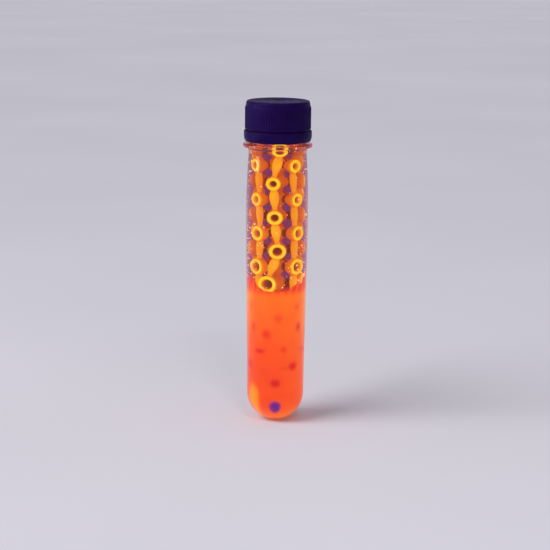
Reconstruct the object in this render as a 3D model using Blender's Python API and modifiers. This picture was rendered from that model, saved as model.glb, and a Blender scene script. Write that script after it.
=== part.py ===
"""Screw-capped round-bottom tube that holds a tubular lattice insert standing in dyed liquid.

The tube is a thick-walled moulding with a 28 mm threaded neck. Its frame has the origin at the tip
of the round bottom, with +Z up the axis to the cap. Every length below is in millimetres, and MM
turns it into metres.
"""

import math

import bmesh
import bpy
from mathutils import Matrix, Vector

MM = 0.001
TURN = 2 * math.pi
MERGE = 0.00005
SEAM = 0.000003
SIDES = 40
LIQUID_SIDES = 24

# Tube body
BOTTOM_RADIUS = 13.7
WAIST_RADIUS = 13.85
WAIST_HEIGHT = 30.0
SHOULDER_RADIUS = 14.85
SHOULDER_HEIGHT = 98.0
THROAT_RADIUS = 13.75
THROAT_HEIGHT = 131.0
BORE_RADIUS = 10.85
BORE_RADIUS_LOW = 10.65
BORE_FLOOR_CENTRE = 14.0

# Neck finish
RING_RADIUS = 16.5
RING_UNDERSIDE = 133.5
RING_TOP = 135.1
NECK_RADIUS = 12.8
BEAD_RADIUS = 13.85
BEAD_LOW = 139.3
BEAD_HIGH = 141.5
ROOT_RADIUS = 12.45
RIM_HEIGHT = 152.75

# Screw thread, right-handed
PITCH = 3.18
THREAD_TURNS = 1.75
NECK_CREST = 13.7
THREAD_LOW = 144.0
CAP_CREST = 12.85
THREAD_SINK = 0.3
THREAD_STEPS = 24
RUN_OUT = 0.12

# Cap, liner and tamper band
CAP_TOP = 155.4
CAP_UNDERSIDE = 154.0
CAP_BOTTOM = 141.65
CAP_BORE = 14.15
CAP_TOP_RADIUS = 15.0
CAP_SKIRT_RADIUS = 15.4
RIB_COUNT = 40
RIB_HEIGHT = 0.3
LINER_RADIUS = 13.8
LINER_LOW = 152.95
LINER_HIGH = 153.8
BAND_BOTTOM = 136.2
BAND_TOP = 141.3
BAND_RADIUS = 16.15
BAND_BORE = 14.4
BAND_LIP = 13.2

# Lattice insert: tiers of four hollow arms on a trunk, each tier turned 45 degrees from the last
TIER_PITCH = 8.05
FIRST_TIER = 20.3
TIER_TWISTS = (0, 3, 20, 18, 8, -5, -25, 0, 2, 3, -6, -2, -11, -9, 6)
ARMS_PER_TIER = 3
FOOT_TIER = 10.2
FOOT_REACH = 7.6
FOOT_MOUTH_RADIUS = 2.9
TRUNK_NECK = 1.5
TRUNK_KNOT = 3.4
KNOT_HALF_HEIGHT = 2.0
TRUNK_LOW = 4.6
TRUNK_HIGH = 137.2
ARM_REACH = 9.8
ARM_START = 2.3
ARM_ROOT_RADIUS = 2.1
MOUTH_RADIUS = 3.2
CHANNEL_START = 3.6
CHANNEL_RADIUS = 1.65
STRUT_CENTRE = 7.7
STRUT_RADIUS = 2.1
STRUT_END_RADIUS = 1.0
STRUT_OVERLAP = 1.1

# Liquids: dyed below, clear above, with a gap round every solid that stands in them
DYE_LEVEL = 64.4
CLEAR_LOW = 64.7
CLEAR_LEVEL = 141.0
LIQUID_GAP = 0.3
LIQUID_FLOOR = 3.65
WINDOW_REACH = 11.6


def clear_scene():
    for obj in list(bpy.data.objects):
        bpy.data.objects.remove(obj, do_unlink=True)


def new_collection(name):
    collection = bpy.data.collections.new(name)
    bpy.context.scene.collection.children.link(collection)
    return collection


def new_material(name, colour, roughness, alpha=1.0):
    material = bpy.data.materials.new(name)
    material.use_nodes = True
    shader = material.node_tree.nodes["Principled BSDF"]
    shader.inputs["Base Color"].default_value = (*colour, 1.0)
    shader.inputs["Roughness"].default_value = roughness
    shader.inputs["Metallic"].default_value = 0.0
    shader.inputs["Alpha"].default_value = alpha
    return material


def new_object(name, mesh, collection):
    obj = bpy.data.objects.new(name, mesh)
    collection.objects.link(obj)
    return obj


def bake_modifiers(obj):
    """Replaces the object's mesh with its evaluated one, and drops the modifiers."""
    bpy.context.view_layer.update()
    graph = bpy.context.evaluated_depsgraph_get()
    mesh = bpy.data.meshes.new_from_object(obj.evaluated_get(graph))
    obj.modifiers.clear()
    obj.data = mesh
    return obj


def turned(name, profile, collection, sides=SIDES, closed=False):
    """A turned solid from (radius, height) points that run down the outer side."""
    mesh = bpy.data.meshes.new(name)
    points = [(radius * MM, 0.0, height * MM) for radius, height in profile]
    edges = [(i, i + 1) for i in range(len(points) - 1)]
    if closed:
        edges.append((len(points) - 1, 0))
    mesh.from_pydata(points, edges, [])
    obj = new_object(name, mesh, collection)
    screw = obj.modifiers.new("Turn", "SCREW")
    screw.axis = "Z"
    screw.steps = sides
    screw.render_steps = sides
    screw.use_merge_vertices = True
    screw.merge_threshold = MERGE
    return bake_modifiers(obj)


def combine(obj, tool, operation):
    """Joins the tool to the object, or cuts it out, removes the tool and closes hairline seams."""
    boolean = obj.modifiers.new("Combine", "BOOLEAN")
    boolean.operation = operation
    boolean.solver = "EXACT"
    boolean.object = tool
    bake_modifiers(obj)
    bpy.data.objects.remove(tool, do_unlink=True)
    mesh = bmesh.new()
    mesh.from_mesh(obj.data)
    bmesh.ops.remove_doubles(mesh, verts=mesh.verts, dist=SEAM)
    bmesh.ops.dissolve_degenerate(mesh, edges=mesh.edges, dist=SEAM / 3)
    mesh.to_mesh(obj.data)
    mesh.free()
    return obj


def finish_piece(obj, material):
    """Gives the piece its material and smooth shading with sharp edges kept."""
    obj.data.materials.clear()
    obj.data.materials.append(material)
    obj.data.shade_smooth()
    obj.data.set_sharp_from_angle(angle=math.radians(35))
    return obj


def arc(centre, radius, start, end, steps):
    """Points (radius, height) on an arc in the profile plane, with angles in degrees."""
    found = []
    for i in range(steps + 1):
        angle = math.radians(start + (end - start) * i / steps)
        found.append((centre[0] + radius * math.cos(angle), centre[1] + radius * math.sin(angle)))
    return found


def helical_ridge(name, base, crest, low, first_turn, turns, widths, collection):
    """A thread ridge that winds up from height low, fading into its wall at both ends.

    base and crest are the radii of its foot and top, and widths are its axial sizes there.
    """
    total = int(THREAD_STEPS * turns)
    mesh = bmesh.new()
    sections = []
    for i in range(total + 1):
        share = i / total
        fade = min(1.0, share / RUN_OUT, (1.0 - share) / RUN_OUT)
        height_share = 0.15 + 0.85 * fade
        angle = TURN * (first_turn + turns * share)
        middle = low + PITCH * turns * share
        top = base + (crest - base) * height_share
        corners = [
            (base, middle - widths[0] / 2),
            (top, middle - widths[1] / 2),
            (top, middle + widths[1] / 2),
            (base, middle + widths[0] / 2),
        ]
        section = []
        for radius, height in corners:
            spot = (radius * MM * math.cos(angle), radius * MM * math.sin(angle), height * MM)
            section.append(mesh.verts.new(spot))
        sections.append(section)
    for one, two in zip(sections, sections[1:]):
        for i in range(4):
            j = (i + 1) % 4
            mesh.faces.new((one[i], one[j], two[j], two[i]))
    mesh.faces.new(sections[0])
    mesh.faces.new(list(reversed(sections[-1])))
    bmesh.ops.recalc_face_normals(mesh, faces=mesh.faces)
    data = bpy.data.meshes.new(name)
    mesh.to_mesh(data)
    mesh.free()
    return new_object(name, data, collection)


def tube_body(collection, cutters, material):
    """The moulded tube: rim, bead, support ring, tapering wall and round bottom."""
    outside = [
        (ROOT_RADIUS - 0.3, RIM_HEIGHT),
        (ROOT_RADIUS, RIM_HEIGHT - 0.3),
        (ROOT_RADIUS, BEAD_HIGH + 0.5),
        (BEAD_RADIUS, BEAD_HIGH - 0.4),
        (BEAD_RADIUS, BEAD_LOW + 0.4),
        (NECK_RADIUS, BEAD_LOW),
        (NECK_RADIUS, RING_TOP),
        (RING_RADIUS - 0.3, RING_TOP),
        (RING_RADIUS, RING_TOP - 0.3),
        (RING_RADIUS, RING_UNDERSIDE + 0.3),
        (RING_RADIUS - 0.3, RING_UNDERSIDE),
        (RING_RADIUS - 1.3, RING_UNDERSIDE),
        (THROAT_RADIUS + 0.3, THROAT_HEIGHT + 1.2),
        (THROAT_RADIUS, THROAT_HEIGHT),
        (SHOULDER_RADIUS - 0.4, SHOULDER_HEIGHT + 20.0),
        (SHOULDER_RADIUS, SHOULDER_HEIGHT),
        ((SHOULDER_RADIUS + WAIST_RADIUS) / 2, (SHOULDER_HEIGHT + WAIST_HEIGHT) / 2),
        (WAIST_RADIUS, WAIST_HEIGHT),
    ]
    bottom = arc((0.0, BOTTOM_RADIUS), BOTTOM_RADIUS, 0, -90, 7)
    inner_floor = arc((0.0, BORE_FLOOR_CENTRE), BORE_RADIUS_LOW, -90, 0, 5)
    bottom[-1] = (0.0, 0.0)
    inner_floor[0] = (0.0, BORE_FLOOR_CENTRE - BORE_RADIUS_LOW)
    mouth = [
        (BORE_RADIUS, RING_TOP),
        (BORE_RADIUS, RIM_HEIGHT - 0.4),
        (BORE_RADIUS + 0.4, RIM_HEIGHT),
    ]
    # The profile starts on the axis inside, climbs the bore, then runs down the outer side.
    profile = inner_floor + mouth + outside + bottom
    body = turned("tube_body", profile, collection)
    ridge = helical_ridge(
        "neck_thread",
        ROOT_RADIUS - THREAD_SINK,
        NECK_CREST,
        THREAD_LOW,
        0.0,
        THREAD_TURNS,
        (1.9, 0.7),
        cutters,
    )
    combine(body, ridge, "UNION")
    return finish_piece(body, material)


def rib_outline(radius):
    """Points round the ribbed skirt: a flat-topped rib and a flat valley for each rib."""
    points = []
    for i in range(RIB_COUNT):
        for share, height in ((0.0, 0.0), (0.28, 0.0), (0.46, RIB_HEIGHT), (0.82, RIB_HEIGHT)):
            angle = TURN * (i + share) / RIB_COUNT
            reach = (radius + height) * MM
            points.append((reach * math.cos(angle), reach * math.sin(angle)))
    return points


def ribbed_collar(name, radius, inner_radius, low, high, collection):
    """A ring with grip ribs all round, as a filled outline with a round hole in it."""
    curve = bpy.data.curves.new(name, "CURVE")
    curve.dimensions = "2D"
    curve.fill_mode = "BOTH"
    curve.extrude = (high - low) * MM / 2
    hole = []
    for i in range(SIDES):
        angle = TURN * i / SIDES
        hole.append((inner_radius * MM * math.cos(angle), inner_radius * MM * math.sin(angle)))
    for points in (rib_outline(radius), hole):
        spline = curve.splines.new("POLY")
        spline.points.add(len(points) - 1)
        spline.use_cyclic_u = True
        for point, (x, y) in zip(spline.points, points):
            point.co = (x, y, 0.0, 1.0)
    flat = new_object(name + "_outline", curve, collection)
    bpy.context.view_layer.update()
    graph = bpy.context.evaluated_depsgraph_get()
    data = bpy.data.meshes.new_from_object(flat.evaluated_get(graph))
    bpy.data.objects.remove(flat, do_unlink=True)
    mesh = bmesh.new()
    mesh.from_mesh(data)
    bmesh.ops.remove_doubles(mesh, verts=mesh.verts, dist=MERGE / 10)
    bmesh.ops.translate(mesh, verts=mesh.verts, vec=(0, 0, (high + low) * MM / 2))
    bmesh.ops.recalc_face_normals(mesh, faces=mesh.faces)
    mesh.to_mesh(data)
    mesh.free()
    return new_object(name, data, collection)


def screw_cap(collection, cutters, material):
    """The cap shell: a domed-edge top, a ribbed skirt, a thread and a bead that keeps the liner in."""
    rounding = arc((CAP_TOP_RADIUS - 1.0, CAP_TOP - 1.0), 1.0, 90, 0, 4)
    profile = [(0.0, CAP_TOP)] + rounding + [
        (CAP_SKIRT_RADIUS, CAP_BOTTOM + 0.3),
        (CAP_SKIRT_RADIUS - 0.3, CAP_BOTTOM),
        (CAP_BORE, CAP_BOTTOM),
        (CAP_BORE, LINER_LOW - 0.9),
        (CAP_BORE - 0.55, LINER_LOW - 0.55),
        (CAP_BORE, LINER_LOW - 0.2),
        (CAP_BORE, CAP_UNDERSIDE),
        (0.0, CAP_UNDERSIDE),
    ]
    cap = turned("screw_cap", profile, collection)
    collar = ribbed_collar(
        "grip_ribs",
        CAP_SKIRT_RADIUS,
        (CAP_BORE + CAP_TOP_RADIUS) / 2,
        CAP_BOTTOM + 1.0,
        CAP_TOP - 1.9,
        cutters,
    )
    combine(cap, collar, "UNION")
    ridge = helical_ridge(
        "cap_thread",
        CAP_BORE + THREAD_SINK,
        CAP_CREST,
        THREAD_LOW,
        0.5,
        THREAD_TURNS,
        (1.7, 0.6),
        cutters,
    )
    combine(cap, ridge, "UNION")
    return finish_piece(cap, material)


def cap_liner(collection, material):
    """The sealing disc that lies loose in the cap's top."""
    profile = [
        (0.0, LINER_HIGH),
        (LINER_RADIUS - 0.2, LINER_HIGH),
        (LINER_RADIUS, LINER_HIGH - 0.2),
        (LINER_RADIUS, LINER_LOW + 0.2),
        (LINER_RADIUS - 0.2, LINER_LOW),
        (0.0, LINER_LOW),
    ]
    return finish_piece(turned("cap_liner", profile, collection), material)


def tamper_band(collection, material):
    """The band that stays on the neck, kept there by a lip under the neck's bead."""
    profile = [
        (BAND_RADIUS - 0.5, BAND_TOP),
        (BAND_RADIUS - 0.1, BAND_TOP - 0.4),
        (BAND_RADIUS, BAND_TOP - 2.6),
        (BAND_RADIUS - 0.4, BAND_BOTTOM + 0.6),
        (BAND_RADIUS - 0.8, BAND_BOTTOM),
        (BAND_BORE, BAND_BOTTOM),
        (BAND_LIP, BAND_BOTTOM + 1.4),
        (BAND_LIP, BAND_BOTTOM + 2.1),
        (BAND_BORE, BAND_BOTTOM + 2.6),
        (BAND_BORE, BAND_TOP),
    ]
    return finish_piece(turned("tamper_band", profile, collection, closed=True), material)


def add_tube(mesh, start, end, radii, sides, roll=0.0):
    """A closed tube from start to end, through evenly spaced rings of the given radii."""
    axis = (end - start).normalized()
    across = Vector((1.0, 0.0, 0.0)) if abs(axis.z) > 0.5 else Vector((0.0, 0.0, 1.0))
    side = axis.cross(across).normalized()
    up = side.cross(axis)
    rings = []
    for i, radius in enumerate(radii):
        centre = start.lerp(end, i / (len(radii) - 1))
        ring = []
        for k in range(sides):
            angle = roll + TURN * k / sides
            spoke = side * math.cos(angle) + up * math.sin(angle)
            ring.append(mesh.verts.new((centre + spoke * radius) * MM))
        rings.append(ring)
    for one, two in zip(rings, rings[1:]):
        for k in range(sides):
            j = (k + 1) % sides
            mesh.faces.new((one[k], one[j], two[j], two[k]))
    mesh.faces.new(list(reversed(rings[0])))
    mesh.faces.new(rings[-1])


def mesh_object(name, mesh, collection):
    bmesh.ops.recalc_face_normals(mesh, faces=mesh.faces)
    data = bpy.data.meshes.new(name)
    mesh.to_mesh(data)
    mesh.free()
    return new_object(name, data, collection)


def tiers():
    """(height, direction of its first arm, reach, mouth radius) of each tier, from the foot up."""
    found = [(FOOT_TIER, 0.0, FOOT_REACH, FOOT_MOUTH_RADIUS)]
    for i, twist in enumerate(TIER_TWISTS):
        first = (i % 2) * TURN / (2 * ARMS_PER_TIER) + math.radians(twist)
        found.append((FIRST_TIER + TIER_PITCH * i, first, ARM_REACH, MOUTH_RADIUS))
    return found


def tier_arms(tier):
    """(height, outward direction, reach, mouth radius) of every arm of one tier."""
    height, first, reach, mouth = tier
    found = []
    for i in range(ARMS_PER_TIER):
        angle = first + i * TURN / ARMS_PER_TIER
        found.append((height, Vector((math.sin(angle), -math.cos(angle), 0.0)), reach, mouth))
    return found


def arms():
    """Every arm of every tier."""
    return [arm for tier in tiers() for arm in tier_arms(tier)]


def trunk(name, collection, grow):
    """The turned middle: a knot at every tier, with a neck between each two."""
    profile = [(0.0, TRUNK_HIGH + grow), (TRUNK_NECK + grow, TRUNK_HIGH + grow)]
    levels = [tier[0] for tier in tiers()]
    for i, height in reversed(list(enumerate(levels))):
        profile.append((TRUNK_KNOT + grow, height + KNOT_HALF_HEIGHT))
        profile.append((TRUNK_KNOT + grow, height - KNOT_HALF_HEIGHT))
        if i > 0:
            profile.append((TRUNK_NECK + grow, (height + levels[i - 1]) / 2))
    profile += [(TRUNK_NECK + grow, TRUNK_LOW - grow), (0.0, TRUNK_LOW - grow)]
    middle = turned(name, profile, collection, sides=8)
    middle.data.transform(Matrix.Rotation(TURN / 50, 4, "Z"))
    return middle


def arm_set(name, collection, grow, window=False):
    """Every arm, flaring outward to its mouth. A window arm runs on through the liquid's side."""
    mesh = bmesh.new()
    for height, out, reach, mouth in arms():
        level = Vector((0.0, 0.0, height))
        flare = (mouth - ARM_ROOT_RADIUS) / (reach - ARM_START)
        far = WINDOW_REACH if window else reach
        radius = mouth + flare * (far - reach) + grow
        near = level + out * (ARM_START + grow)
        add_tube(mesh, near, level + out * far, [ARM_ROOT_RADIUS + grow, radius], 8)
    return mesh_object(name, mesh, collection)


def strut_set(name, collection, grow):
    """The spindle-shaped struts, each between two arms that lie one above the other."""
    mesh = bmesh.new()
    levels = tiers()
    pairs = [(0, 1)] + [(i, i + 2) for i in range(1, len(levels) - 2)]
    for low, high in pairs:
        for lower, upper in zip(tier_arms(levels[low]), tier_arms(levels[high])):
            foot = lower[1] * (STRUT_CENTRE - ARM_REACH + lower[2])
            foot.z = lower[0] + STRUT_OVERLAP
            head = upper[1] * STRUT_CENTRE
            head.z = upper[0] - STRUT_OVERLAP
            radii = [STRUT_END_RADIUS + grow, STRUT_RADIUS + grow, STRUT_END_RADIUS + grow]
            add_tube(mesh, foot, head, radii, 6, TURN / 40)
    return mesh_object(name, mesh, collection)


def channel_set(name, collection):
    """The blind channels that make every arm hollow."""
    mesh = bmesh.new()
    for height, out, reach, _ in arms():
        level = Vector((0.0, 0.0, height))
        start, end = level + out * CHANNEL_START, level + out * (reach + 1.0)
        add_tube(mesh, start, end, [CHANNEL_RADIUS, CHANNEL_RADIUS], 6, TURN / 30)
    return mesh_object(name, mesh, collection)


def lattice_insert(collection, cutters, material):
    """The one-piece insert: a knotted trunk, hollow flared arms and upright struts."""
    insert = trunk("lattice_insert", collection, 0.0)
    combine(insert, arm_set("arms", cutters, 0.0), "UNION")
    combine(insert, strut_set("struts", cutters, 0.0), "UNION")
    combine(insert, channel_set("channels", cutters), "DIFFERENCE")
    return finish_piece(insert, material)


def cut_lattice_room(liquid, cutters):
    """Takes the insert and a gap round it out of a liquid."""
    combine(liquid, trunk("trunk_room", cutters, LIQUID_GAP), "DIFFERENCE")
    combine(liquid, arm_set("arm_room", cutters, LIQUID_GAP, window=True), "DIFFERENCE")
    combine(liquid, strut_set("strut_room", cutters, LIQUID_GAP), "DIFFERENCE")


def dye_liquid(collection, cutters, material):
    """The dyed liquid, from the round floor up to its level."""
    wall = BORE_RADIUS_LOW - LIQUID_GAP
    floor = arc((0.0, BORE_FLOOR_CENTRE), wall, 0, -90, 5)
    floor[-1] = (0.0, LIQUID_FLOOR)
    profile = [(0.0, DYE_LEVEL), (wall, DYE_LEVEL)] + floor
    liquid = turned("dye_liquid", profile, collection, LIQUID_SIDES)
    cut_lattice_room(liquid, cutters)
    return finish_piece(liquid, material)


def clear_liquid(collection, cutters, material):
    """The clear liquid that lies on the dyed one and fills the tube into its neck."""
    wall = BORE_RADIUS_LOW - LIQUID_GAP
    profile = [(0.0, CLEAR_LEVEL), (wall, CLEAR_LEVEL), (wall, CLEAR_LOW), (0.0, CLEAR_LOW)]
    liquid = turned("clear_liquid", profile, collection, LIQUID_SIDES)
    cut_lattice_room(liquid, cutters)
    return finish_piece(liquid, material)


def main():
    clear_scene()
    parts = new_collection("screw_cap_tube")
    cutters = new_collection("cutters")
    clear_plastic = new_material("clear_plastic", (0.95, 0.82, 0.78), 0.06, 0.3)
    cap_plastic = new_material("cap_plastic", (0.022, 0.008, 0.085), 0.42)
    liner_foam = new_material("liner_foam", (0.82, 0.80, 0.84), 0.7)
    lattice_resin = new_material("lattice_resin", (1.0, 0.55, 0.02), 0.35)
    dye = new_material("dye", (1.0, 0.13, 0.0), 0.15, 0.9)
    clear_water = new_material("clear_water", (0.9, 0.93, 1.0), 0.03, 0.15)
    tube_body(parts, cutters, clear_plastic)
    screw_cap(parts, cutters, cap_plastic)
    cap_liner(parts, liner_foam)
    tamper_band(parts, cap_plastic)
    lattice_insert(parts, cutters, lattice_resin)
    dye_liquid(parts, cutters, dye)
    clear_liquid(parts, cutters, clear_water)


main()
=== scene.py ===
"""Looks of a screw-capped round-bottom tube: a glowing lattice insert in dyed and clear liquid.

Lengths are in millimetres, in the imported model's frame: origin at the tip of the round bottom,
+Z up the axis, -Y towards the camera. MM turns them into metres.
"""

import math
import random

import bmesh
import bpy
import numpy as np
from mathutils import Matrix, Vector


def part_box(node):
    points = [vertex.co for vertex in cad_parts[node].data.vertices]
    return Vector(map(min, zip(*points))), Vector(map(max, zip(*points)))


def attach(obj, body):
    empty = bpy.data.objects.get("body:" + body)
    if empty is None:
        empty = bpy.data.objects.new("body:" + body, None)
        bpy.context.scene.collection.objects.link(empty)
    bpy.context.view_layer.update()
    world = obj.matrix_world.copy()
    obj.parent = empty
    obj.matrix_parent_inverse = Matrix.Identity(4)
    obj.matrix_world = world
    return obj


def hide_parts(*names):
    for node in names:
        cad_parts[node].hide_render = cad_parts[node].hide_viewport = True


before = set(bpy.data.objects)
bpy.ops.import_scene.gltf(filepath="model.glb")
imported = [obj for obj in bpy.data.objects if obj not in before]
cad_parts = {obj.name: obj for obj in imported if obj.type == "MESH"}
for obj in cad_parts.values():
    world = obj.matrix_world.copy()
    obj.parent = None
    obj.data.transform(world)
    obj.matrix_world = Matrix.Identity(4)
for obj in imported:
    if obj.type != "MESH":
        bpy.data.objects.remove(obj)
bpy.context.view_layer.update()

MM = 0.001
TURN = 2 * math.pi
ROUND = 144


def frame_mm(node):
    """(lowest corner, highest corner) of a CAD node, in millimetres."""
    low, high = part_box(node)
    return low / MM, high / MM


# Heights and radii that the frame gives
RIM_HEIGHT = frame_mm("tube_body")[1].z
RING_RADIUS = frame_mm("tube_body")[1].x
CAP_BOTTOM, CAP_TOP = frame_mm("screw_cap")[0].z, frame_mm("screw_cap")[1].z
CAP_RADIUS = frame_mm("screw_cap")[1].x
BAND_BOTTOM, BAND_TOP = frame_mm("tamper_band")[0].z, frame_mm("tamper_band")[1].z
BAND_RADIUS = frame_mm("tamper_band")[1].x
LINER_LOW = frame_mm("cap_liner")[0].z
TRUNK_LOW, TRUNK_HIGH = frame_mm("lattice_insert")[0].z, frame_mm("lattice_insert")[1].z
DYE_LEVEL = frame_mm("dye_liquid")[1].z
CLEAR_LEVEL = frame_mm("clear_liquid")[1].z

# Tube body
BOTTOM_RADIUS = 13.7
BODY_OUTLINE = ((13.7, 13.7), (30.0, 13.85), (64.0, 14.35), (98.0, 14.85), (118.0, 14.45), (131.0, 13.75))
BORE_RADIUS = 10.85
BORE_RADIUS_LOW = 10.65
BORE_FLOOR_CENTRE = 14.0
RING_UNDERSIDE = 133.5
RING_TOP = 135.1
FLANGE_START = RING_UNDERSIDE - 1.5
NECK_RADIUS = 12.8
BEAD_RADIUS = 13.85
BEAD_LOW = 139.3
BEAD_HIGH = 141.5
ROOT_RADIUS = 12.45

# Screw thread. Ridges are (root, crest) wide. Each rises over the RUN_OUT share of its length, from the
# RIDGE_START share of its height.
PITCH = 3.18
THREAD_TURNS = 1.75
THREAD_LOW = 144.0
NECK_CREST = 13.7
CAP_CREST = 12.85
THREAD_SINK = 0.3
NECK_RIDGE = (1.9, 0.8)
CAP_RIDGE = (1.7, 0.7)
RIDGE_STEPS = 72
RIDGE_SHOULDER = 0.8
RIDGE_BEVEL = 0.1
RIDGE_START = 0.15
RUN_OUT = 0.12

# Cap and band
CAP_UNDERSIDE = 154.0
CAP_BORE = 14.15
RIB_COUNT = 120
RIB_DEPTH = 0.15
RIB_SIDES = 6
BAND_BORE = 14.4
BAND_LIP = 13.2
BRIDGE_COUNT = 12
BRIDGE_SIZE = (0.7, 0.55, 0.28)
BRIDGE_RADIUS = BAND_BORE + 0.5

# Lattice insert
TIER_PITCH = 8.05
FIRST_TIER = 20.3
TIER_TWISTS = (0, 3, 20, 18, 8, -5, -25, 0, 2, 3, -6, -2, -11, -9, 6)
ARMS_PER_TIER = 3
ARM_REACH = 9.8
FOOT_TIER = 10.2
FOOT_REACH = 7.6
FOOT_MOUTH = 2.9
SLIM_MOUTH = 3.3
NECK_TIERS = 128.0
NECK_WIDENING = 0.3
TRUNK_NECK = 1.5
TRUNK_KNOT = 3.2
TRUNK_STEP = 0.4
STRUT_CENTRE = 7.7
STRUT_RADII = (1.55, 2.1)
STRUT_END_RADIUS = 1.0
STRUT_SINK = 1.3
LIP_RADIUS = 0.95
ARM_SIDES = 28
STRUT_SIDES = 18
VOXEL = 0.49
# Distances along an arm: where its shaft's painted shade and its channel's painted shade begin, and where
# its mouth narrows
SHAFT_START = 3.6
CHANNEL_END = 3.0
THROAT = 2.4
LIP_BACK = 0.3

# Liquids. FILM is what keeps them off the bore, and LAYER_GAP what keeps them apart.
FREE_SURFACE = CLEAR_LEVEL - 0.9
FILM = 0.02
LAYER_GAP = 0.06
CREEP = 8.0
CREEP_FADE = 0.35
CREEP_LEAST = 0.9
CREEP_SIDES = 8.5
BUBBLE_COUNT = 260
BUBBLE_LOW = DYE_LEVEL + 2.5
BUBBLE_SPREAD = 68.0
FINE_BUBBLES = (0.14, 0.22)
COARSE_BUBBLES = (0.24, 0.38)
BUBBLE_GAP = 0.06

# Patches on the dye, a painted pool of light and painted violet light at a trapped bubble: direction in
# degrees, height, half width in degrees, half height
PAINTED_LIGHT_PATCH = (-62, 12.5, 24, 8.0)
PAINTED_VIOLET_PATCH = (0, 8.7, 16, 2.9)
# Painted shade spots on the dye, where arm mouths near the wall show through: direction in degrees, height,
# half width in degrees, half height, strength
PAINTED_SHADE_SPOTS = (
    (0, 20.3, 13, 2.2, 1.0),
    (44, 28.3, 14, 2.3, 1.0),
    (19, 37.0, 9, 1.7, 0.65),
    (-40, 35.8, 15, 1.4, 0.9),
    (-23, 44.4, 12, 2.3, 0.75),
    (60, 47.3, 9, 2.4, 0.85),
    (6, 52.5, 11, 2.0, 0.5),
    (22, 27.6, 12, 0.9, 0.5),
    (54, 57.4, 7, 1.5, 0.5),
)
# The pattern of spots repeats at a third of a turn: (degrees further round, share of its strength)
SPOT_COPIES = ((0, 1.0), (120, 0.7), (240, 0.7))

# Looks
PET_IOR = 1.575
PET_SMEAR = 0.05
WATER_IOR = 1.333
WATER_TINT = 140.0
WATER_COLOUR = (0.62, 0.08, 0.6, 1.0)
# Colour of the painted violet light at a trapped bubble
PAINTED_VIOLET_LIGHT = (0.085, 0.0, 0.27, 1.0)
# Painted rosy light on the clear plastic, standing in for the dye's light: tints and glows for the body and
# the flange, and rosy reflections, glow and sheen
PET_LIGHT_TINT = (1.0, 0.56, 0.5)
EDGE_GLOW = 0.012
FLANGE_LIGHT_TINT = (0.74, 0.42, 0.6)
FLANGE_GLOW = 0.1
PATCHINESS = 0.24
ROSY_SHINE = (1.0, 0.7, 0.5, 1.0)
ROSY_GLOW = (1.0, 0.16, 0.2, 1.0)
ROSY_SHEEN = (1.0, 0.28, 0.2, 1.0)
# Painted glow of the wall bubbles
BUBBLE_GLOW = (1.0, 0.72, 0.3, 1.0)

# Studio, in metres and degrees
FLOOR_RADIUS = 14.0
SKY_COLOUR = (0.84, 0.82, 0.9, 1.0)
SKY_STRENGTH = 0.42
KEY_DIRECTION = (0.95, 0.6, -1.05)
KEY_WIDTH = 35.0
KEY_POWER = 1.75
CAP_HEIGHT = 0.155
MIDDLE_HEIGHT = 0.1
CAMERA_PLACE = (0.0, -0.843, 0.2389)
CAMERA_YAW = 0.045
CAMERA_PITCH = -11.25
CAMERA_ROLL = 0.6
SENSOR_MM = 36.0
LENS_MM = 116.8


# ---------------------------------------------------------------- mesh helpers


def new_object(name, mesh):
    obj = bpy.data.objects.new(name, mesh)
    bpy.context.scene.collection.objects.link(obj)
    return obj


def object_from_bmesh(name, bm):
    bmesh.ops.recalc_face_normals(bm, faces=bm.faces)
    mesh = bpy.data.meshes.new(name)
    bm.to_mesh(mesh)
    bm.free()
    return new_object(name, mesh)


def soften(obj, angle):
    """Smooth shading, with edges sharper than angle degrees kept."""
    obj.data.shade_smooth()
    obj.data.set_sharp_from_angle(angle=math.radians(angle))


def add_lathe(bm, profile, segments, closed=False, swell=None, lift=None):
    """Turns (radius, height) points round Z.

    swell(angle, i) and lift(angle, i) add to point i's radius and height.
    """
    rings = []
    for i, (radius, height) in enumerate(profile):
        if radius < 1e-6:
            rings.append([bm.verts.new((0.0, 0.0, height * MM))])
            continue
        ring = []
        for k in range(segments):
            angle = TURN * k / segments
            reach = (radius + (swell(angle, i) if swell else 0.0)) * MM
            level = (height + (lift(angle, i) if lift else 0.0)) * MM
            ring.append(bm.verts.new((reach * math.cos(angle), reach * math.sin(angle), level)))
        rings.append(ring)
    pairs = list(zip(rings, rings[1:]))
    if closed:
        pairs.append((rings[-1], rings[0]))
    for one, two in pairs:
        for k in range(segments):
            corners = [one[k % len(one)], two[k % len(two)]]
            corners += [two[(k + 1) % len(two)], one[(k + 1) % len(one)]]
            corners = list(dict.fromkeys(corners))
            if len(corners) > 2:
                bm.faces.new(corners)


def lathe(name, profile, segments=ROUND, swell=None, lift=None):
    bm = bmesh.new()
    add_lathe(bm, profile, segments, swell=swell, lift=lift)
    return object_from_bmesh(name, bm)


def arc(centre, radius, start, end, steps):
    """Points (radius, height) on an arc in the profile plane, with angles in degrees."""
    found = []
    for i in range(steps + 1):
        angle = math.radians(start + (end - start) * i / steps)
        found.append((centre[0] + radius * math.cos(angle), centre[1] + radius * math.sin(angle)))
    return found


def spline(a, b, c, d, share):
    """The Catmull-Rom curve's value between b and c."""
    slope = c - a
    square = 2 * a - 5 * b + 4 * c - d
    cube = 3 * b - a - 3 * c + d
    return 0.5 * (2 * b + slope * share + square * share**2 + cube * share**3)


def smooth_line(keys, steps):
    """(radius, height) points on a Catmull-Rom curve through (height, radius) keys, from the lowest up."""
    ends = [keys[0]] + list(keys) + [keys[-1]]
    found = []
    for a, b, c, d in zip(ends, ends[1:], ends[2:], ends[3:]):
        for i in range(steps):
            found.append(tuple(spline(a[k], b[k], c[k], d[k], i / steps) for k in (1, 0)))
    found.append((keys[-1][1], keys[-1][0]))
    return found


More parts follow.
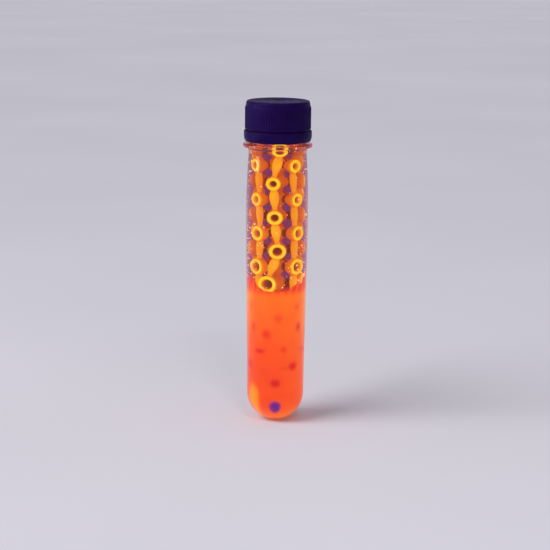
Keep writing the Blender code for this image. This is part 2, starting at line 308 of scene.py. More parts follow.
def helical_ridge(name, base, crest, first_turn, widths):
    """A thread ridge that winds up from THREAD_LOW and fades into its wall at both ends."""
    total = int(RIDGE_STEPS * THREAD_TURNS)
    bm = bmesh.new()
    sections = []
    for i in range(total + 1):
        share = i / total
        fade = min(1.0, share / RUN_OUT, (1.0 - share) / RUN_OUT)
        angle = TURN * (first_turn + THREAD_TURNS * share)
        middle = THREAD_LOW + PITCH * THREAD_TURNS * share
        top = base + (crest - base) * (RIDGE_START + (1.0 - RIDGE_START) * fade)
        shoulder = base + (top - base) * RIDGE_SHOULDER
        corners = (
            (base, middle - widths[0] / 2),
            (shoulder, middle - widths[1] / 2 - RIDGE_BEVEL),
            (top, middle - widths[1] / 2 + RIDGE_BEVEL),
            (top, middle + widths[1] / 2 - RIDGE_BEVEL),
            (shoulder, middle + widths[1] / 2 + RIDGE_BEVEL),
            (base, middle + widths[0] / 2),
        )
        section = []
        for radius, height in corners:
            spot = (radius * MM * math.cos(angle), radius * MM * math.sin(angle), height * MM)
            section.append(bm.verts.new(spot))
        sections.append(section)
    for one, two in zip(sections, sections[1:]):
        for i in range(len(one)):
            j = (i + 1) % len(one)
            bm.faces.new((one[i], one[j], two[j], two[i]))
    bm.faces.new(sections[0])
    bm.faces.new(list(reversed(sections[-1])))
    return object_from_bmesh(name, bm)


def apply_modifiers(obj):
    graph = bpy.context.evaluated_depsgraph_get()
    mesh = bpy.data.meshes.new_from_object(obj.evaluated_get(graph))
    obj.modifiers.clear()
    obj.data = mesh


def join_solid(obj, tool):
    """Joins a second solid to the first, and removes it."""
    boolean = obj.modifiers.new("Join", "BOOLEAN")
    boolean.operation = "UNION"
    boolean.solver = "EXACT"
    boolean.object = tool
    bpy.context.view_layer.update()
    apply_modifiers(obj)
    bpy.data.objects.remove(tool, do_unlink=True)


# ---------------------------------------------------------------- material helpers


def new_material(name):
    material = bpy.data.materials.new(name)
    material.use_nodes = True
    tree = material.node_tree
    return material, tree, tree.nodes["Principled BSDF"]


def add_node(tree, kind, **values):
    """A node with some of its inputs or properties set by name."""
    node = tree.nodes.new(kind)
    for key, value in values.items():
        if key in node.inputs:
            node.inputs[key].default_value = value
        else:
            setattr(node, key, value)
    return node


def noise_node(tree, scale, detail=3.0, stretch=None):
    """A noise texture in object coordinates. scale is in features per metre."""
    place = add_node(tree, "ShaderNodeTexCoord")
    source = place.outputs["Object"]
    if stretch:
        mapping = add_node(tree, "ShaderNodeMapping", Scale=stretch)
        tree.links.new(source, mapping.inputs["Vector"])
        source = mapping.outputs["Vector"]
    texture = add_node(tree, "ShaderNodeTexNoise", Scale=scale, Detail=detail)
    tree.links.new(source, texture.inputs["Vector"])
    return texture


def ramp(tree, source, stops):
    """A colour ramp fed by source. stops is [(position, colour), ...]."""
    node = tree.nodes.new("ShaderNodeValToRGB")
    elements = node.color_ramp.elements
    while len(elements) < len(stops):
        elements.new(0.5)
    for element, (position, colour) in zip(elements, stops):
        element.position = position
        element.color = (*colour, 1.0)
    tree.links.new(source, node.inputs["Fac"])
    return node.outputs["Color"]


def grey_ramp(tree, source, low, high, start=0.3, end=0.7):
    return ramp(tree, source, [(start, (low,) * 3), (end, (high,) * 3)])


def attribute(tree, name):
    return add_node(tree, "ShaderNodeAttribute", attribute_name=name).outputs["Fac"]


def multiply_colours(tree, one, two):
    node = add_node(tree, "ShaderNodeMix", data_type="RGBA", blend_type="MULTIPLY")
    node.inputs["Factor"].default_value = 1.0
    tree.links.new(one, node.inputs["A"])
    tree.links.new(two, node.inputs["B"])
    return node.outputs["Result"]


def add_bump(tree, shader, height, strength, distance):
    bump = add_node(tree, "ShaderNodeBump", Strength=strength, Distance=distance)
    tree.links.new(height, bump.inputs["Height"])
    tree.links.new(bump.outputs["Normal"], shader.inputs["Normal"])


def glass_material(name, colour, ior, smear=0.0):
    """Clear material that bends light, with faint flow lines in its finish where smear is above 0."""
    material, tree, shader = new_material(name)
    shader.inputs["Base Color"].default_value = (*colour, 1.0)
    shader.inputs["Transmission Weight"].default_value = 1.0
    shader.inputs["IOR"].default_value = ior
    shader.inputs["Roughness"].default_value = 0.0
    if smear:
        flow = noise_node(tree, 90.0, 2.0, stretch=(1.0, 1.0, 0.12))
        add_bump(tree, shader, flow.outputs["Fac"], smear, 0.0004)
    return material, tree, shader


def lit_plastic(name, tint, glow):
    """Moulded clear plastic with painted rosy light standing in for the dye's light: a rosy tint, a faint
    glow, rosy reflections and a rosy sheen at its edges.
    """
    material, _, shader = glass_material(name, tint, PET_IOR, PET_SMEAR)
    shader.inputs["Specular Tint"].default_value = ROSY_SHINE
    shader.inputs["Emission Color"].default_value = ROSY_GLOW
    shader.inputs["Emission Strength"].default_value = glow
    shader.inputs["Sheen Weight"].default_value = 0.45
    shader.inputs["Sheen Roughness"].default_value = 0.25
    shader.inputs["Sheen Tint"].default_value = ROSY_SHEEN
    return material


def cap_plastic():
    """Dark indigo closure plastic: matte, with a fine moulded grain and rubbed patches."""
    material, tree, shader = new_material("cap_plastic")
    stops = [(0.3, (0.008, 0.0008, 0.045)), (0.7, (0.013, 0.0013, 0.07))]
    colour = ramp(tree, noise_node(tree, 160.0, 4.0).outputs["Fac"], stops)
    tree.links.new(colour, shader.inputs["Base Color"])
    rough = grey_ramp(tree, noise_node(tree, 420.0, 5.0).outputs["Fac"], 0.34, 0.5)
    tree.links.new(rough, shader.inputs["Roughness"])
    shader.inputs["Specular IOR Level"].default_value = 0.06
    add_bump(tree, shader, noise_node(tree, 5200.0, 2.0).outputs["Fac"], 0.18, 0.00008)
    return material


def foam():
    """Pale sealing foam with open pores, painted darker in them as shade."""
    material, tree, shader = new_material("liner_foam")
    pores = add_node(tree, "ShaderNodeTexVoronoi", Scale=2600.0)
    place = add_node(tree, "ShaderNodeTexCoord")
    tree.links.new(place.outputs["Object"], pores.inputs["Vector"])
    # Painted shade: darker towards the middle of each pore
    stops = [(0.0, (0.6, 0.58, 0.62)), (0.5, (0.84, 0.82, 0.86))]
    colour = ramp(tree, pores.outputs["Distance"], stops)
    tree.links.new(colour, shader.inputs["Base Color"])
    shader.inputs["Roughness"].default_value = 0.75
    add_bump(tree, shader, pores.outputs["Distance"], 0.4, 0.0002)
    return material


def glowing(name, stops, dark, diffuse, strength, roughness, grain):
    """A fluorescent material. Its colour runs through stops by its attribute of painted light and tone, and
    to dark by its attribute of painted shade.

    diffuse is the share of the colour that it reflects, and grain the scale of its uneven patches.
    """
    material, tree, shader = new_material(name)
    patches = noise_node(tree, grain, 3.0)
    mixed = add_node(tree, "ShaderNodeMath", operation="MULTIPLY_ADD")
    tree.links.new(patches.outputs["Fac"], mixed.inputs[0])
    mixed.inputs[1].default_value = PATCHINESS
    offset = add_node(tree, "ShaderNodeMath", operation="SUBTRACT")
    tree.links.new(attribute(tree, "tone_and_painted_light"), offset.inputs[0])
    offset.inputs[1].default_value = PATCHINESS / 2
    tree.links.new(offset.outputs[0], mixed.inputs[2])
    colour = ramp(tree, mixed.outputs[0], stops)
    # Painted shade, read from its own attribute
    shadow = ramp(tree, attribute(tree, "painted_shade"), [(0.0, (1.0, 1.0, 1.0)), (1.0, dark)])
    light = multiply_colours(tree, colour, shadow)
    base = add_node(tree, "ShaderNodeMix", data_type="RGBA", blend_type="MULTIPLY")
    base.inputs["Factor"].default_value = 1.0
    base.inputs["B"].default_value = (diffuse, diffuse, diffuse, 1.0)
    tree.links.new(light, base.inputs["A"])
    tree.links.new(base.outputs["Result"], shader.inputs["Base Color"])
    tree.links.new(light, shader.inputs["Emission Color"])
    shader.inputs["Emission Strength"].default_value = strength
    shader.inputs["Roughness"].default_value = roughness
    return material, tree, shader


def lattice_resin():
    """Printed resin with fine layer lines. Its glow runs from deep orange to yellow with painted light and
    shade.
    """
    stops = [
        (0.0, (0.5, 0.1, 0.0)),
        (0.3, (0.8, 0.25, 0.0)),
        (0.6, (0.98, 0.46, 0.001)),
        (1.0, (1.0, 0.98, 0.01)),
    ]
    # The last colour is the painted shade deep in the channels
    material, tree, shader = glowing("lattice_resin", stops, (0.3, 0.18, 0.1), 0.3, 0.98, 0.35, 380.0)
    shader.inputs["Specular IOR Level"].default_value = 0.15
    layers = noise_node(tree, 900.0, 2.0, stretch=(0.25, 0.25, 3.0))
    add_bump(tree, shader, layers.outputs["Fac"], 0.25, 0.0001)
    return material


def dye_glow():
    """Dyed liquid that glows, with painted shade spots and a patch of painted violet light where its
    attribute says, for violet light seen through a trapped bubble.
    """
    stops = [
        (0.0, (0.74, 0.022, 0.0)),
        (0.35, (0.94, 0.09, 0.0)),
        (0.7, (1.0, 0.22, 0.0)),
        (1.0, (1.0, 0.46, 0.0)),
    ]
    # The last colour is the painted shade of the spots
    material, tree, shader = glowing("dye", stops, (0.78, 0.0, 1.0), 0.2, 0.95, 0.3, 120.0)
    shader.inputs["Specular IOR Level"].default_value = 0.1
    # The painted violet light goes into both the colour and the glow
    for name in ("Base Color", "Emission Color"):
        source = shader.inputs[name].links[0].from_socket
        patch = add_node(tree, "ShaderNodeMix", data_type="RGBA")
        patch.inputs["B"].default_value = PAINTED_VIOLET_LIGHT
        tree.links.new(source, patch.inputs["A"])
        tree.links.new(attribute(tree, "violet"), patch.inputs["Factor"])
        tree.links.new(patch.outputs["Result"], shader.inputs[name])
    return material


def bubble_skin():
    """Pale bubbles with a painted glow, standing in for the dye's light that they catch."""
    material, tree, shader = new_material("bubble_skin")
    shader.inputs["Roughness"].default_value = 0.08
    shader.inputs["Emission Color"].default_value = BUBBLE_GLOW
    shader.inputs["Emission Strength"].default_value = 1.1
    tone = noise_node(tree, 1500.0, 1.0)
    tree.links.new(grey_ramp(tree, tone.outputs["Fac"], 0.7, 1.0), shader.inputs["Base Color"])
    return material


# ---------------------------------------------------------------- tube


def tube_profile():
    """The wall's outline, from the axis on the inner floor, up the bore, and down the outer side."""
    inner = arc((0.0, BORE_FLOOR_CENTRE), BORE_RADIUS_LOW, -90, 0, 24)
    inner[0] = (0.0, BORE_FLOOR_CENTRE - BORE_RADIUS_LOW)
    wall = []
    for i in range(1, 21):
        share = i / 20
        height = BORE_FLOOR_CENTRE + (CLEAR_LEVEL - BORE_FLOOR_CENTRE) * share
        wall.append((BORE_RADIUS_LOW + (BORE_RADIUS - BORE_RADIUS_LOW) * share, height))
    mouth = [(BORE_RADIUS, RIM_HEIGHT - 0.6)] + arc((BORE_RADIUS + 0.5, RIM_HEIGHT - 0.5), 0.5, 180, 90, 5)
    rim = arc((ROOT_RADIUS - 0.4, RIM_HEIGHT - 0.4), 0.4, 90, 0, 5)
    bead = [(ROOT_RADIUS, BEAD_HIGH + 0.6)] + arc((BEAD_RADIUS - 0.5, BEAD_HIGH - 0.6), 0.5, 60, 0, 4)
    bead += arc((BEAD_RADIUS - 0.35, BEAD_LOW + 0.45), 0.35, 0, -80, 4) + [(NECK_RADIUS, BEAD_LOW)]
    ring = [(NECK_RADIUS, RING_TOP + 0.4), (NECK_RADIUS + 0.4, RING_TOP)]
    ring += arc((RING_RADIUS - 0.45, RING_TOP - 0.45), 0.45, 90, 0, 6)
    ring += arc((RING_RADIUS - 0.3, RING_UNDERSIDE + 0.3), 0.3, 0, -90, 5)
    ring += [(RING_RADIUS - 1.3, RING_UNDERSIDE)]
    ring += [(14.35, 132.7), (14.0, 132.1), (13.82, 131.5)]
    body = list(reversed(smooth_line(BODY_OUTLINE, 6)))
    bottom = arc((0.0, BOTTOM_RADIUS), BOTTOM_RADIUS, 0, -90, 28)[1:]
    bottom[-1] = (0.0, 0.0)
    return inner + wall + mouth + rim + bead + ring + body + bottom


def make_tube():
    """The moulded tube. The part of its bore that liquid wets bends light less than its dry faces do."""
    tube = lathe("tube_moulding", tube_profile())
    ridge = helical_ridge("neck_ridge", ROOT_RADIUS - THREAD_SINK, NECK_CREST, 0.0, NECK_RIDGE)
    join_solid(tube, ridge)
    soften(tube, 32)
    mesh = tube.data
    mesh.materials.clear()
    # Both dry plastics carry painted rosy light, the flange's stronger
    mesh.materials.append(lit_plastic("clear_plastic", PET_LIGHT_TINT, EDGE_GLOW))
    mesh.materials.append(glass_material("wetted_plastic", (1.0, 0.98, 0.98), PET_IOR / WATER_IOR)[0])
    mesh.materials.append(lit_plastic("flange_plastic", FLANGE_LIGHT_TINT, FLANGE_GLOW))
    floor_centre = Vector((0, 0, BORE_FLOOR_CENTRE))
    for face in mesh.polygons:
        spot = face.center / MM
        nearest = floor_centre if spot.z < BORE_FLOOR_CENTRE else Vector((0, 0, spot.z))
        inside = (spot - nearest).length < BORE_RADIUS + 0.1
        if inside and spot.z < CLEAR_LEVEL:
            face.material_index = 1
        elif not inside and spot.z > FLANGE_START:
            face.material_index = 2
    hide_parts("tube_body")
    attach(tube, "tube")


# ---------------------------------------------------------------- lattice


def below(height, top, fall):
    """0 from top upwards, and 1 from fall millimetres under it downwards."""
    return min(max((top - height) / fall, 0.0), 1.0)


def mouth_radius(height):
    """Mouths widen downwards, and a little again just under the neck."""
    low = 0.6 * below(height, 112.0, 30.0) + 0.35 * below(height, 80.0, 10.0)
    return SLIM_MOUTH + low + (NECK_WIDENING if height > NECK_TIERS else 0.0)


def outward(angle):
    """The direction at an angle round the axis, where 0 is towards the camera."""
    return Vector((math.sin(angle), -math.cos(angle), 0.0))


def tiers():
    """(height, direction of its first arm, reach, mouth radius) of each tier, from the foot up."""
    found = [(FOOT_TIER, 0.0, FOOT_REACH, FOOT_MOUTH)]
    for i, twist in enumerate(TIER_TWISTS):
        height = FIRST_TIER + TIER_PITCH * i
        first = (i % 2) * TURN / (2 * ARMS_PER_TIER) + math.radians(twist)
        found.append((height, first, ARM_REACH, mouth_radius(height)))
    return found


def tier_arms(tier):
    """(origin on the axis, outward direction, reach, mouth radius) of every arm of one tier."""
    height, first, reach, mouth = tier
    spread = [first + i * TURN / ARMS_PER_TIER for i in range(ARMS_PER_TIER)]
    return [(Vector((0, 0, height)), outward(angle), reach, mouth) for angle in spread]


def lattice_arms():
    return [arm for tier in tiers() for arm in tier_arms(tier)]


def arm_profile(reach, mouth):
    """A hollow arm as (radius, distance from the trunk): shaft, collar, rounded lip, channel."""
    shaft = [(0.0, 1.0), (2.2, 1.0), (1.9, 3.0), (1.75, 4.4)]
    collar = arc((mouth - 0.7, reach - 3.3), 0.45, -80, 80, 6)
    waist = [(mouth - 1.35, reach - 2.2)]
    lip = arc((mouth - LIP_RADIUS, reach - LIP_RADIUS), LIP_RADIUS, -60, 190, 16)
    hole = [(mouth - 1.75, reach - 2.2), (1.35, reach - 3.6), (1.2, 4.4), (0.0, 4.0)]
    return shaft + collar + waist + lip + hole


def strut_profile(length, middle):
    """A spindle: thin at its ends and fullest a little above the middle."""
    found = [(0.0, 0.0)]
    for i in range(13):
        share = i / 12
        fullness = math.sin(math.pi * min(max((share - 0.16) / 0.8, 0.0), 1.0) ** 1.25)
        found.append((STRUT_END_RADIUS + (middle - STRUT_END_RADIUS) * fullness, length * share))
    found.append((0.0, length))
    return found


def add_turned(bm, profile, origin, axis, segments):
    """Adds a lathe whose own +Z runs along axis from origin, both in millimetres."""
    part = bmesh.new()
    add_lathe(part, profile, segments)
    place = Matrix.Translation(origin * MM) @ axis.to_track_quat("Z", "Y").to_matrix().to_4x4()
    bmesh.ops.transform(part, matrix=place, verts=part.verts)
    bmesh.ops.recalc_face_normals(part, faces=part.faces)
    piece = bpy.data.meshes.new("part")
    part.to_mesh(piece)
    part.free()
    bm.from_mesh(piece)
    bpy.data.meshes.remove(piece)


def trunk_profile():
    """A knot at every tier and a neck between each two."""
    levels = [tier[0] for tier in tiers()]
    found = [(0.0, TRUNK_LOW), (1.0, TRUNK_LOW), (TRUNK_NECK, TRUNK_LOW + 0.5)]
    height = TRUNK_LOW + 0.8
    while height < TRUNK_HIGH - 0.7:
        away = min(abs(height - level) for level in levels)
        bulge = math.cos(min(away / (TIER_PITCH * 0.5), 1.0) * math.pi / 2)
        found.append((TRUNK_NECK + (TRUNK_KNOT - TRUNK_NECK) * bulge, height))
        height += TRUNK_STEP
    return found + [(TRUNK_NECK, TRUNK_HIGH - 0.5), (1.0, TRUNK_HIGH), (0.0, TRUNK_HIGH)]


def strut_end(arm, side):
    """Where a strut enters an arm: through its upper wall if side is 1, its lower wall if side is -1."""
    origin, out, reach, mouth = arm
    rise = Vector((0, 0, side * (mouth - STRUT_SINK)))
    return origin + out * (STRUT_CENTRE - ARM_REACH + reach) + rise


def lattice_solid():
    """Trunk, arms and struts as overlapping closed shapes in one mesh."""
    bm = bmesh.new()
    add_turned(bm, trunk_profile(), Vector((0, 0, 0)), Vector((0, 0, 1)), ARM_SIDES)
    for origin, out, reach, mouth in lattice_arms():
        add_turned(bm, arm_profile(reach, mouth), origin, out, ARM_SIDES)
    levels = tiers()
    pairs = [(0, 1)] + [(i, i + 2) for i in range(1, len(levels) - 2)]
    for low, high in pairs:
        for lower, upper in zip(tier_arms(levels[low]), tier_arms(levels[high])):
            foot = strut_end(lower, 1)
            span = strut_end(upper, -1) - foot
            spindle = strut_profile(span.length, STRUT_RADII[high % 2])
            add_turned(bm, spindle, foot, span.normalized(), STRUT_SIDES)
    mesh = bpy.data.meshes.new("lattice_print")
    bm.to_mesh(mesh)
    bm.free()
    return new_object("lattice_print", mesh)


def add_values(mesh, name, values):
    layer = mesh.attributes.new(name, "FLOAT", "POINT")
    layer.data.foreach_set("value", np.clip(values, 0.0, 1.0).astype(np.float32))


def mesh_points(mesh):
    """Every vertex as a row of millimetres."""
    points = np.empty(len(mesh.vertices) * 3)
    mesh.vertices.foreach_get("co", points)
    return points.reshape(-1, 3) / MM


def paint_lattice(obj):
    """Painted light and shade: the glow runs from a deep orange, with painted shade at the trunk and along
    the shafts, to a painted bright yellow at the lips, and painted shade darkens the channels.
    """
    points = mesh_points(obj.data)
    away = np.hypot(points[:, 0], points[:, 1])
    # Painted shade near the axis, lighter outwards
    tone_and_painted_light = 0.36 + 0.32 * np.clip((away - 2.0) / 7.0, 0.0, 1.0)
    painted_shade = np.zeros(len(points))
    for origin, out, reach, mouth in lattice_arms():
        local = points - np.array(origin)
        along = local @ np.array(out)
        across = np.sqrt(np.maximum((local**2).sum(1) - along**2, 0.0))
        # Painted shade along the arms' shafts, lifting towards their mouths
        shaft = (across < mouth + 0.2) & (along > SHAFT_START) & (along < reach)
        tone_and_painted_light[shaft] = 0.12 + 0.3 * (along[shaft] - SHAFT_START) / (reach - SHAFT_START)
        # Painted glow, brightest at the lips
        off_lip = (across - mouth + LIP_RADIUS) ** 2 + ((along - reach + LIP_BACK) / 1.1) ** 2
        tone_and_painted_light = np.maximum(tone_and_painted_light, np.exp(-(off_lip**1.5)))
        # Painted shade deep in the channels
        channel = np.where(along > reach - THROAT, mouth - LIP_RADIUS, mouth - 1.5)
        inside = (across < channel) & (along > CHANNEL_END) & (along < reach - LIP_BACK)
        shade = np.clip((reach - 0.9 - along[inside]) / 2.6, 0.0, 1.0)
        painted_shade[inside] = np.maximum(painted_shade[inside], shade)
    add_values(obj.data, "tone_and_painted_light", tone_and_painted_light)
    add_values(obj.data, "painted_shade", painted_shade)


def make_lattice():
    """The printed insert, fused from its overlapping parts and eased at their joins."""
    lattice = lattice_solid()
    remesh = lattice.modifiers.new("Fuse", "REMESH")
    remesh.mode = "VOXEL"
    remesh.voxel_size = VOXEL * MM
    ease = lattice.modifiers.new("Ease", "SMOOTH")
    ease.factor = 0.5
    ease.iterations = 3
    bpy.context.view_layer.update()
    apply_modifiers(lattice)
    lattice.data.shade_smooth()
    paint_lattice(lattice)
    lattice.data.materials.clear()
    lattice.data.materials.append(lattice_resin())
    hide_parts("lattice_insert")
    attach(lattice, "contents")


# ---------------------------------------------------------------- liquids


def bore_radius(height):
    """The bore widens slightly from its round floor up to the liquid's surface."""
    share = (height - BORE_FLOOR_CENTRE) / (CLEAR_LEVEL - BORE_FLOOR_CENTRE)
    return BORE_RADIUS_LOW + (BORE_RADIUS - BORE_RADIUS_LOW) * min(max(share, 0.0), 1.0)


def climb(angle):
    """How high the dye creeps up the wall above its level at this angle: most at the two sides."""
    ripple = 0.2 * math.sin(7.0 * angle + 1.0) + 0.1 * math.sin(19.0 * angle)
    return CREEP_LEAST + CREEP_SIDES * abs(math.cos(angle)) ** 3 * (0.75 + ripple)


def raised(profile, level, decay):
    """The lift of the dye's upper surface, and of the water's lower one, which lies on it.

    It is climb() at the wall and fades away from it over decay millimetres. The side within CREEP
    under the level is stretched upwards with it.
    """
    wall = bore_radius(level) - FILM

    def lift(angle, i):
        radius, height = profile[i]
        if height < level - CREEP or height > level + 0.5:
            return 0.0
        if height >= level - 0.01:
            return climb(angle) * math.exp(-(wall - radius) / decay)
        return (1.0 - (level - height) / CREEP) ** 2 * climb(angle)

    return lift


def surface(level, steps=12):
    """(radius, height) points of a level surface, from the wall's edge to the axis."""
    wall = bore_radius(level) - FILM
    near = [(wall, level), (wall - 0.15, level), (wall - 0.4, level), (wall - 0.8, level)]
    rest = [(wall * (1.0 - i / steps), level) for i in range(2, steps)]
    return near + rest + [(0.0, level)]


def liquid_floor():
    """(radius, height) points of a liquid's round underside, from the axis to the wall."""
    floor = arc((0.0, BORE_FLOOR_CENTRE), BORE_RADIUS_LOW - FILM, -90, 0, 30)
    floor[0] = (0.0, BORE_FLOOR_CENTRE - BORE_RADIUS_LOW + FILM)
    return floor


def liquid_side(low, high, steps):
    """(radius, height) points against the bore, between two heights and without its two ends."""
    heights = [low + (high - low) * i / steps for i in range(1, steps)]
    return [(bore_radius(height) - FILM, height) for height in heights]


def make_dye():
    """The dyed liquid. It glows, and painted shade spots on its side stand for arm mouths near the wall."""
    profile = liquid_floor() + liquid_side(BORE_FLOOR_CENTRE, DYE_LEVEL, 90) + surface(DYE_LEVEL)
    dye = lathe("dye_fill", profile, lift=raised(profile, DYE_LEVEL, CREEP_FADE))
    soften(dye, 60)
    paint_dye(dye)
    dye.data.materials.append(dye_glow())
    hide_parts("dye_liquid")
    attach(dye, "contents")


def blob(azimuth, height, angle, level, wide, tall, edge=1.6):
    """1 at the centre of an oval patch on the liquid's side, falling softly to 0 round it."""
    across = (azimuth - math.radians(angle) + math.pi) % TURN - math.pi
    return np.exp(-((across / math.radians(wide)) ** 2 + ((height - level) / tall) ** 2) ** edge)


def paint_dye(obj):
    """The glow with its painted light and tone, the painted shade spots, and the painted violet light at the
    trapped bubble low at the front.
    """
    x, y, z = mesh_points(obj.data).T
    azimuth = np.arctan2(x, -y)
    # Painted light: brighter with height, then on the right, then at the two sides near the top, and at the
    # tip
    tone_and_painted_light = 0.26 + 0.4 * np.clip((z - 22.0) / 42.0, 0.0, 1.0) ** 1.3
    tone_and_painted_light += 0.16 * np.clip(np.sin(azimuth), 0.0, 1.0) * np.clip((60.0 - z) / 30.0, 0.0, 1.0)
    tone_and_painted_light += 0.4 * np.clip(np.abs(azimuth) / 1.4 - 0.6, 0.0, 0.5) * np.clip((z - 35.0) / 15.0, 0.0, 1.0)
    # A painted pool of light
    glow = blob(azimuth, z, *PAINTED_LIGHT_PATCH, 2.4)
    tone_and_painted_light = np.maximum(tone_and_painted_light, 0.9 * glow)
    tone_and_painted_light += 0.3 * np.exp(-((z - 4.0) / 3.0) ** 2)
    # Painted shade spots where arm mouths near the wall show through, left out of the pool of light
    painted_shade = np.zeros(len(z))
    for angle, height, wide, tall, strength in PAINTED_SHADE_SPOTS:
        for further, share in SPOT_COPIES:
            spot = blob(azimuth, z, angle + further, height, wide, tall, 2.0)
            painted_shade = np.maximum(painted_shade, strength * share * spot)
    painted_shade *= 1.0 - glow
    # The film that creeps up the wall is mottled
    film = np.clip((z - DYE_LEVEL + 1.5) / 3.0, 0.0, 1.0)
    mottle = np.sin(11.0 * azimuth + 1.9 * z) * np.sin(7.0 * azimuth - 2.3 * z)
    tone_and_painted_light = tone_and_painted_light * (1.0 - film) + film * (0.2 + 0.34 * mottle)
    add_values(obj.data, "tone_and_painted_light", tone_and_painted_light)
    add_values(obj.data, "painted_shade", painted_shade)
    # Painted violet light, on the front only
    add_values(obj.data, "violet", blob(azimuth, z, *PAINTED_VIOLET_PATCH, 3.0) * (y < 0))


def make_clear_liquid():
    """The clear liquid. Only its free surface bends light: the wetted bore does that at its side."""
    low = list(reversed([(radius, height + LAYER_GAP) for radius, height in surface(DYE_LEVEL)]))
    profile = low + liquid_side(DYE_LEVEL + 9.0, FREE_SURFACE, 12) + surface(FREE_SURFACE)
    lifts = raised([(radius, height - LAYER_GAP) for radius, height in profile], DYE_LEVEL, CREEP_FADE)
    water = lathe("clear_fill", profile, lift=lifts)
    soften(water, 60)
    mesh = water.data
    water_side, tree, _ = glass_material("clear_water", (0.97, 0.95, 1.0), 1.0)
    mesh.materials.append(water_side)
    mesh.materials.append(glass_material("water_surface", (1.0, 1.0, 1.0), WATER_IOR)[0])
    for face in mesh.polygons:
        face.material_index = 1 if face.center.z > (FREE_SURFACE - 0.1) * MM else 0
    volume = add_node(tree, "ShaderNodeVolumeAbsorption", Density=WATER_TINT)
    volume.inputs["Color"].default_value = WATER_COLOUR
    output = next(node for node in tree.nodes if node.bl_idname == "ShaderNodeOutputMaterial")
    tree.links.new(volume.outputs["Volume"], output.inputs["Volume"])
    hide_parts("clear_liquid")
    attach(water, "contents")


def make_bubbles():
    """Fine bubbles that cling to the bore above the dye, thicker just over it."""
    draw = random.Random(11)
    bm = bmesh.new()
    for _ in range(BUBBLE_COUNT):
        height = BUBBLE_LOW + BUBBLE_SPREAD * draw.random() ** 2.0
        side = TURN / 4 if draw.random() < 0.5 else -TURN / 4
        angle = draw.gauss(side, 0.55) if draw.random() < 0.6 else draw.uniform(0, TURN)
        radius = draw.uniform(*(FINE_BUBBLES if draw.random() < 0.75 else COARSE_BUBBLES))
        spot = outward(angle) * (bore_radius(height) - radius - BUBBLE_GAP) + Vector((0, 0, height))
        place = Matrix.Translation(spot * MM)
        bmesh.ops.create_icosphere(bm, subdivisions=2, radius=radius * MM, matrix=place)
    bubbles = object_from_bmesh("wall_bubbles", bm)
    bubbles.data.shade_smooth()
    bubbles.data.materials.append(bubble_skin())
    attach(bubbles, "tube")


# ---------------------------------------------------------------- closure


def make_cap(plastic):
    """The cap: dished top with a gate mark, fine ribs down the skirt, thread and liner bead inside."""
    edge = CAP_RADIUS - RIB_DEPTH
    top = [(0.0, CAP_TOP - 0.3), (0.7, CAP_TOP - 0.3), (0.95, CAP_TOP - 0.18), (12.9, CAP_TOP - 0.18)]
    top += [(13.25, CAP_TOP - 0.05), (13.5, CAP_TOP)]
    top += arc((edge - 1.5, CAP_TOP - 1.1), 1.1, 90, 0, 7)
    skirt = [(edge - 0.3, CAP_TOP - 1.9), (edge - 0.15, CAP_TOP - 2.6)]
    ribbed_from = len(top) + len(skirt)
    skirt += [(edge, CAP_TOP - 3.3), (edge, CAP_TOP - 7.0)]
    skirt += [(edge, CAP_BOTTOM + 1.4), (edge, CAP_BOTTOM + 1.0)]
    ribbed_to = len(top) + len(skirt)
    foot = [(edge, CAP_BOTTOM + 0.3), (edge - 0.05, CAP_BOTTOM + 0.1), (edge - 0.15, CAP_BOTTOM)]
    inside = [(CAP_BORE, CAP_BOTTOM), (CAP_BORE, LINER_LOW - 0.9), (CAP_BORE - 0.55, LINER_LOW - 0.55)]
    inside += [(CAP_BORE, LINER_LOW - 0.2), (CAP_BORE, CAP_UNDERSIDE), (0.0, CAP_UNDERSIDE)]

    def rib(angle, i):
        if not ribbed_from - 1 <= i < ribbed_to:
            return 0.0
        wave = 0.5 + 0.5 * math.cos(angle * RIB_COUNT)
        return RIB_DEPTH * (wave if i >= ribbed_from else 0.3 * wave)

    cap = lathe("cap_shell", top + skirt + foot + inside, RIB_COUNT * RIB_SIDES, swell=rib)
    ridge = helical_ridge("cap_ridge", CAP_BORE + THREAD_SINK, CAP_CREST, 0.5, CAP_RIDGE)
    join_solid(cap, ridge)
    soften(cap, 40)
    cap.data.materials.clear()
    cap.data.materials.append(plastic)
    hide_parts("screw_cap")
    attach(cap, "cap")


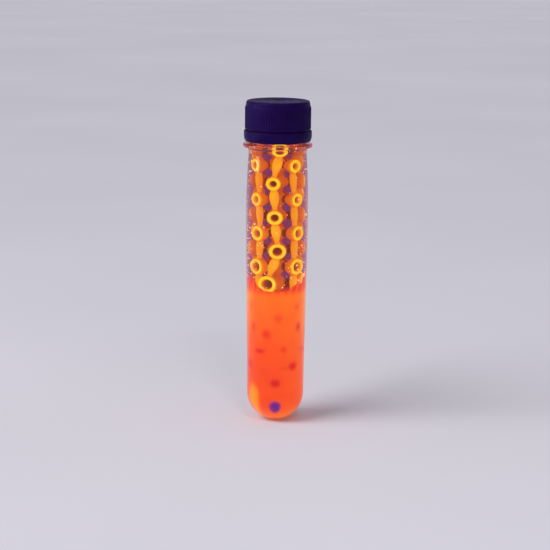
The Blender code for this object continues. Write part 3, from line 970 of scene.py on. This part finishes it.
def make_band(plastic):
    """The tamper band, with the torn stubs of its bridges along its upper edge."""
    outer = [(BAND_RADIUS - 0.5, BAND_TOP)] + arc((BAND_RADIUS - 0.35, BAND_TOP - 0.3), 0.3, 90, 0, 5)
    outer += [(BAND_RADIUS, BAND_TOP - 1.4), (BAND_RADIUS, BAND_TOP - 2.6)]
    outer += [(BAND_RADIUS - 0.12, BAND_BOTTOM + 1.5), (BAND_RADIUS - 0.4, BAND_BOTTOM + 0.6)]
    outer += [(BAND_RADIUS - 0.6, BAND_BOTTOM + 0.15), (BAND_RADIUS - 0.85, BAND_BOTTOM)]
    inner = [(BAND_BORE, BAND_BOTTOM), (BAND_LIP, BAND_BOTTOM + 1.4), (BAND_LIP, BAND_BOTTOM + 2.1)]
    inner += [(BAND_BORE, BAND_BOTTOM + 2.6), (BAND_BORE, BAND_TOP + 0.31)]
    inner += [(BAND_BORE + 0.55, BAND_TOP + 0.31), (BAND_BORE + 0.65, BAND_TOP)]
    bm = bmesh.new()
    add_lathe(bm, outer + inner, ROUND, closed=True)
    for i in range(BRIDGE_COUNT):
        turn = Matrix.Rotation(TURN * (i + 0.3) / BRIDGE_COUNT, 4, "Z")
        place = Matrix.Translation(Vector((BRIDGE_RADIUS, 0, BAND_TOP)) * MM)
        size = Matrix.Diagonal((*(side * MM for side in BRIDGE_SIZE), 1.0))
        bmesh.ops.create_cube(bm, size=1.0, matrix=turn @ place @ size)
    band = object_from_bmesh("tamper_ring", bm)
    soften(band, 35)
    band.data.materials.append(plastic)
    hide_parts("tamper_band")
    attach(band, "band")


def finish_liner():
    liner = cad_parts["cap_liner"]
    liner.data.materials.clear()
    liner.data.materials.append(foam())


# ---------------------------------------------------------------- studio


def make_floor():
    """A wide pale matte disc."""
    bm = bmesh.new()
    bmesh.ops.create_circle(bm, cap_ends=True, segments=96, radius=FLOOR_RADIUS)
    floor = object_from_bmesh("floor", bm)
    material, tree, shader = new_material("studio_floor")
    tone = noise_node(tree, 3.0, 2.0)
    colour = ramp(tree, tone.outputs["Fac"], [(0.3, (0.7, 0.69, 0.75)), (0.7, (0.74, 0.73, 0.79))])
    tree.links.new(colour, shader.inputs["Base Color"])
    shader.inputs["Roughness"].default_value = 0.8
    shader.inputs["Specular IOR Level"].default_value = 0.1
    floor.data.materials.append(material)


def add_light(name, place, target, size, power):
    """A rectangular lamp at place, turned to target."""
    lamp = bpy.data.lights.new(name, "AREA")
    lamp.shape = "RECTANGLE"
    lamp.size, lamp.size_y = size
    lamp.energy = power
    obj = bpy.data.objects.new(name, lamp)
    bpy.context.scene.collection.objects.link(obj)
    obj.location = place
    obj.rotation_euler = (Vector(target) - Vector(place)).to_track_quat("-Z", "Y").to_euler()


def add_sun(name, direction, angle, power):
    """Even light that travels along direction. angle is how wide its disc is, in degrees."""
    lamp = bpy.data.lights.new(name, "SUN")
    lamp.energy = power
    lamp.angle = math.radians(angle)
    obj = bpy.data.objects.new(name, lamp)
    bpy.context.scene.collection.objects.link(obj)
    obj.rotation_euler = Vector(direction).to_track_quat("-Z", "Y").to_euler()


def make_studio():
    """An even pale surround, a broad key from the upper left, and two lamps for the cap and the wall."""
    world = bpy.data.worlds.new("studio")
    bpy.context.scene.world = world
    world.use_nodes = True
    sky = world.node_tree.nodes["Background"]
    sky.inputs["Color"].default_value = SKY_COLOUR
    sky.inputs["Strength"].default_value = SKY_STRENGTH
    add_sun("key", KEY_DIRECTION, KEY_WIDTH, KEY_POWER)
    add_light("rim", (0.1, -0.5, 0.62), (0, 0, CAP_HEIGHT), (0.12, 0.05), 0.6)
    add_light("side", (-0.9, -0.1, 0.35), (0, 0, MIDDLE_HEIGHT), (0.25, 0.6), 2.0)


def make_camera():
    """The photo's view: a long lens a little above the tube, looking down on it with a slight roll."""
    lens = bpy.data.cameras.new("camera")
    lens.sensor_width = SENSOR_MM
    lens.lens = LENS_MM
    lens.clip_start = 0.01
    lens.clip_end = 60.0
    camera = bpy.data.objects.new("camera", lens)
    bpy.context.scene.collection.objects.link(camera)
    camera.location = CAMERA_PLACE
    yaw = Matrix.Rotation(math.radians(CAMERA_YAW), 4, "Z")
    pitch = Matrix.Rotation(math.radians(90.0 + CAMERA_PITCH), 4, "X")
    roll = Matrix.Rotation(math.radians(CAMERA_ROLL), 4, "Z")
    camera.rotation_euler = (yaw @ pitch @ roll).to_euler()
    bpy.context.scene.camera = camera


def main():
    make_tube()
    make_lattice()
    make_dye()
    make_clear_liquid()
    make_bubbles()
    plastic = cap_plastic()
    make_cap(plastic)
    make_band(plastic)
    finish_liner()
    make_floor()
    make_studio()
    make_camera()
    bpy.context.scene.view_settings.view_transform = "Standard"


main()
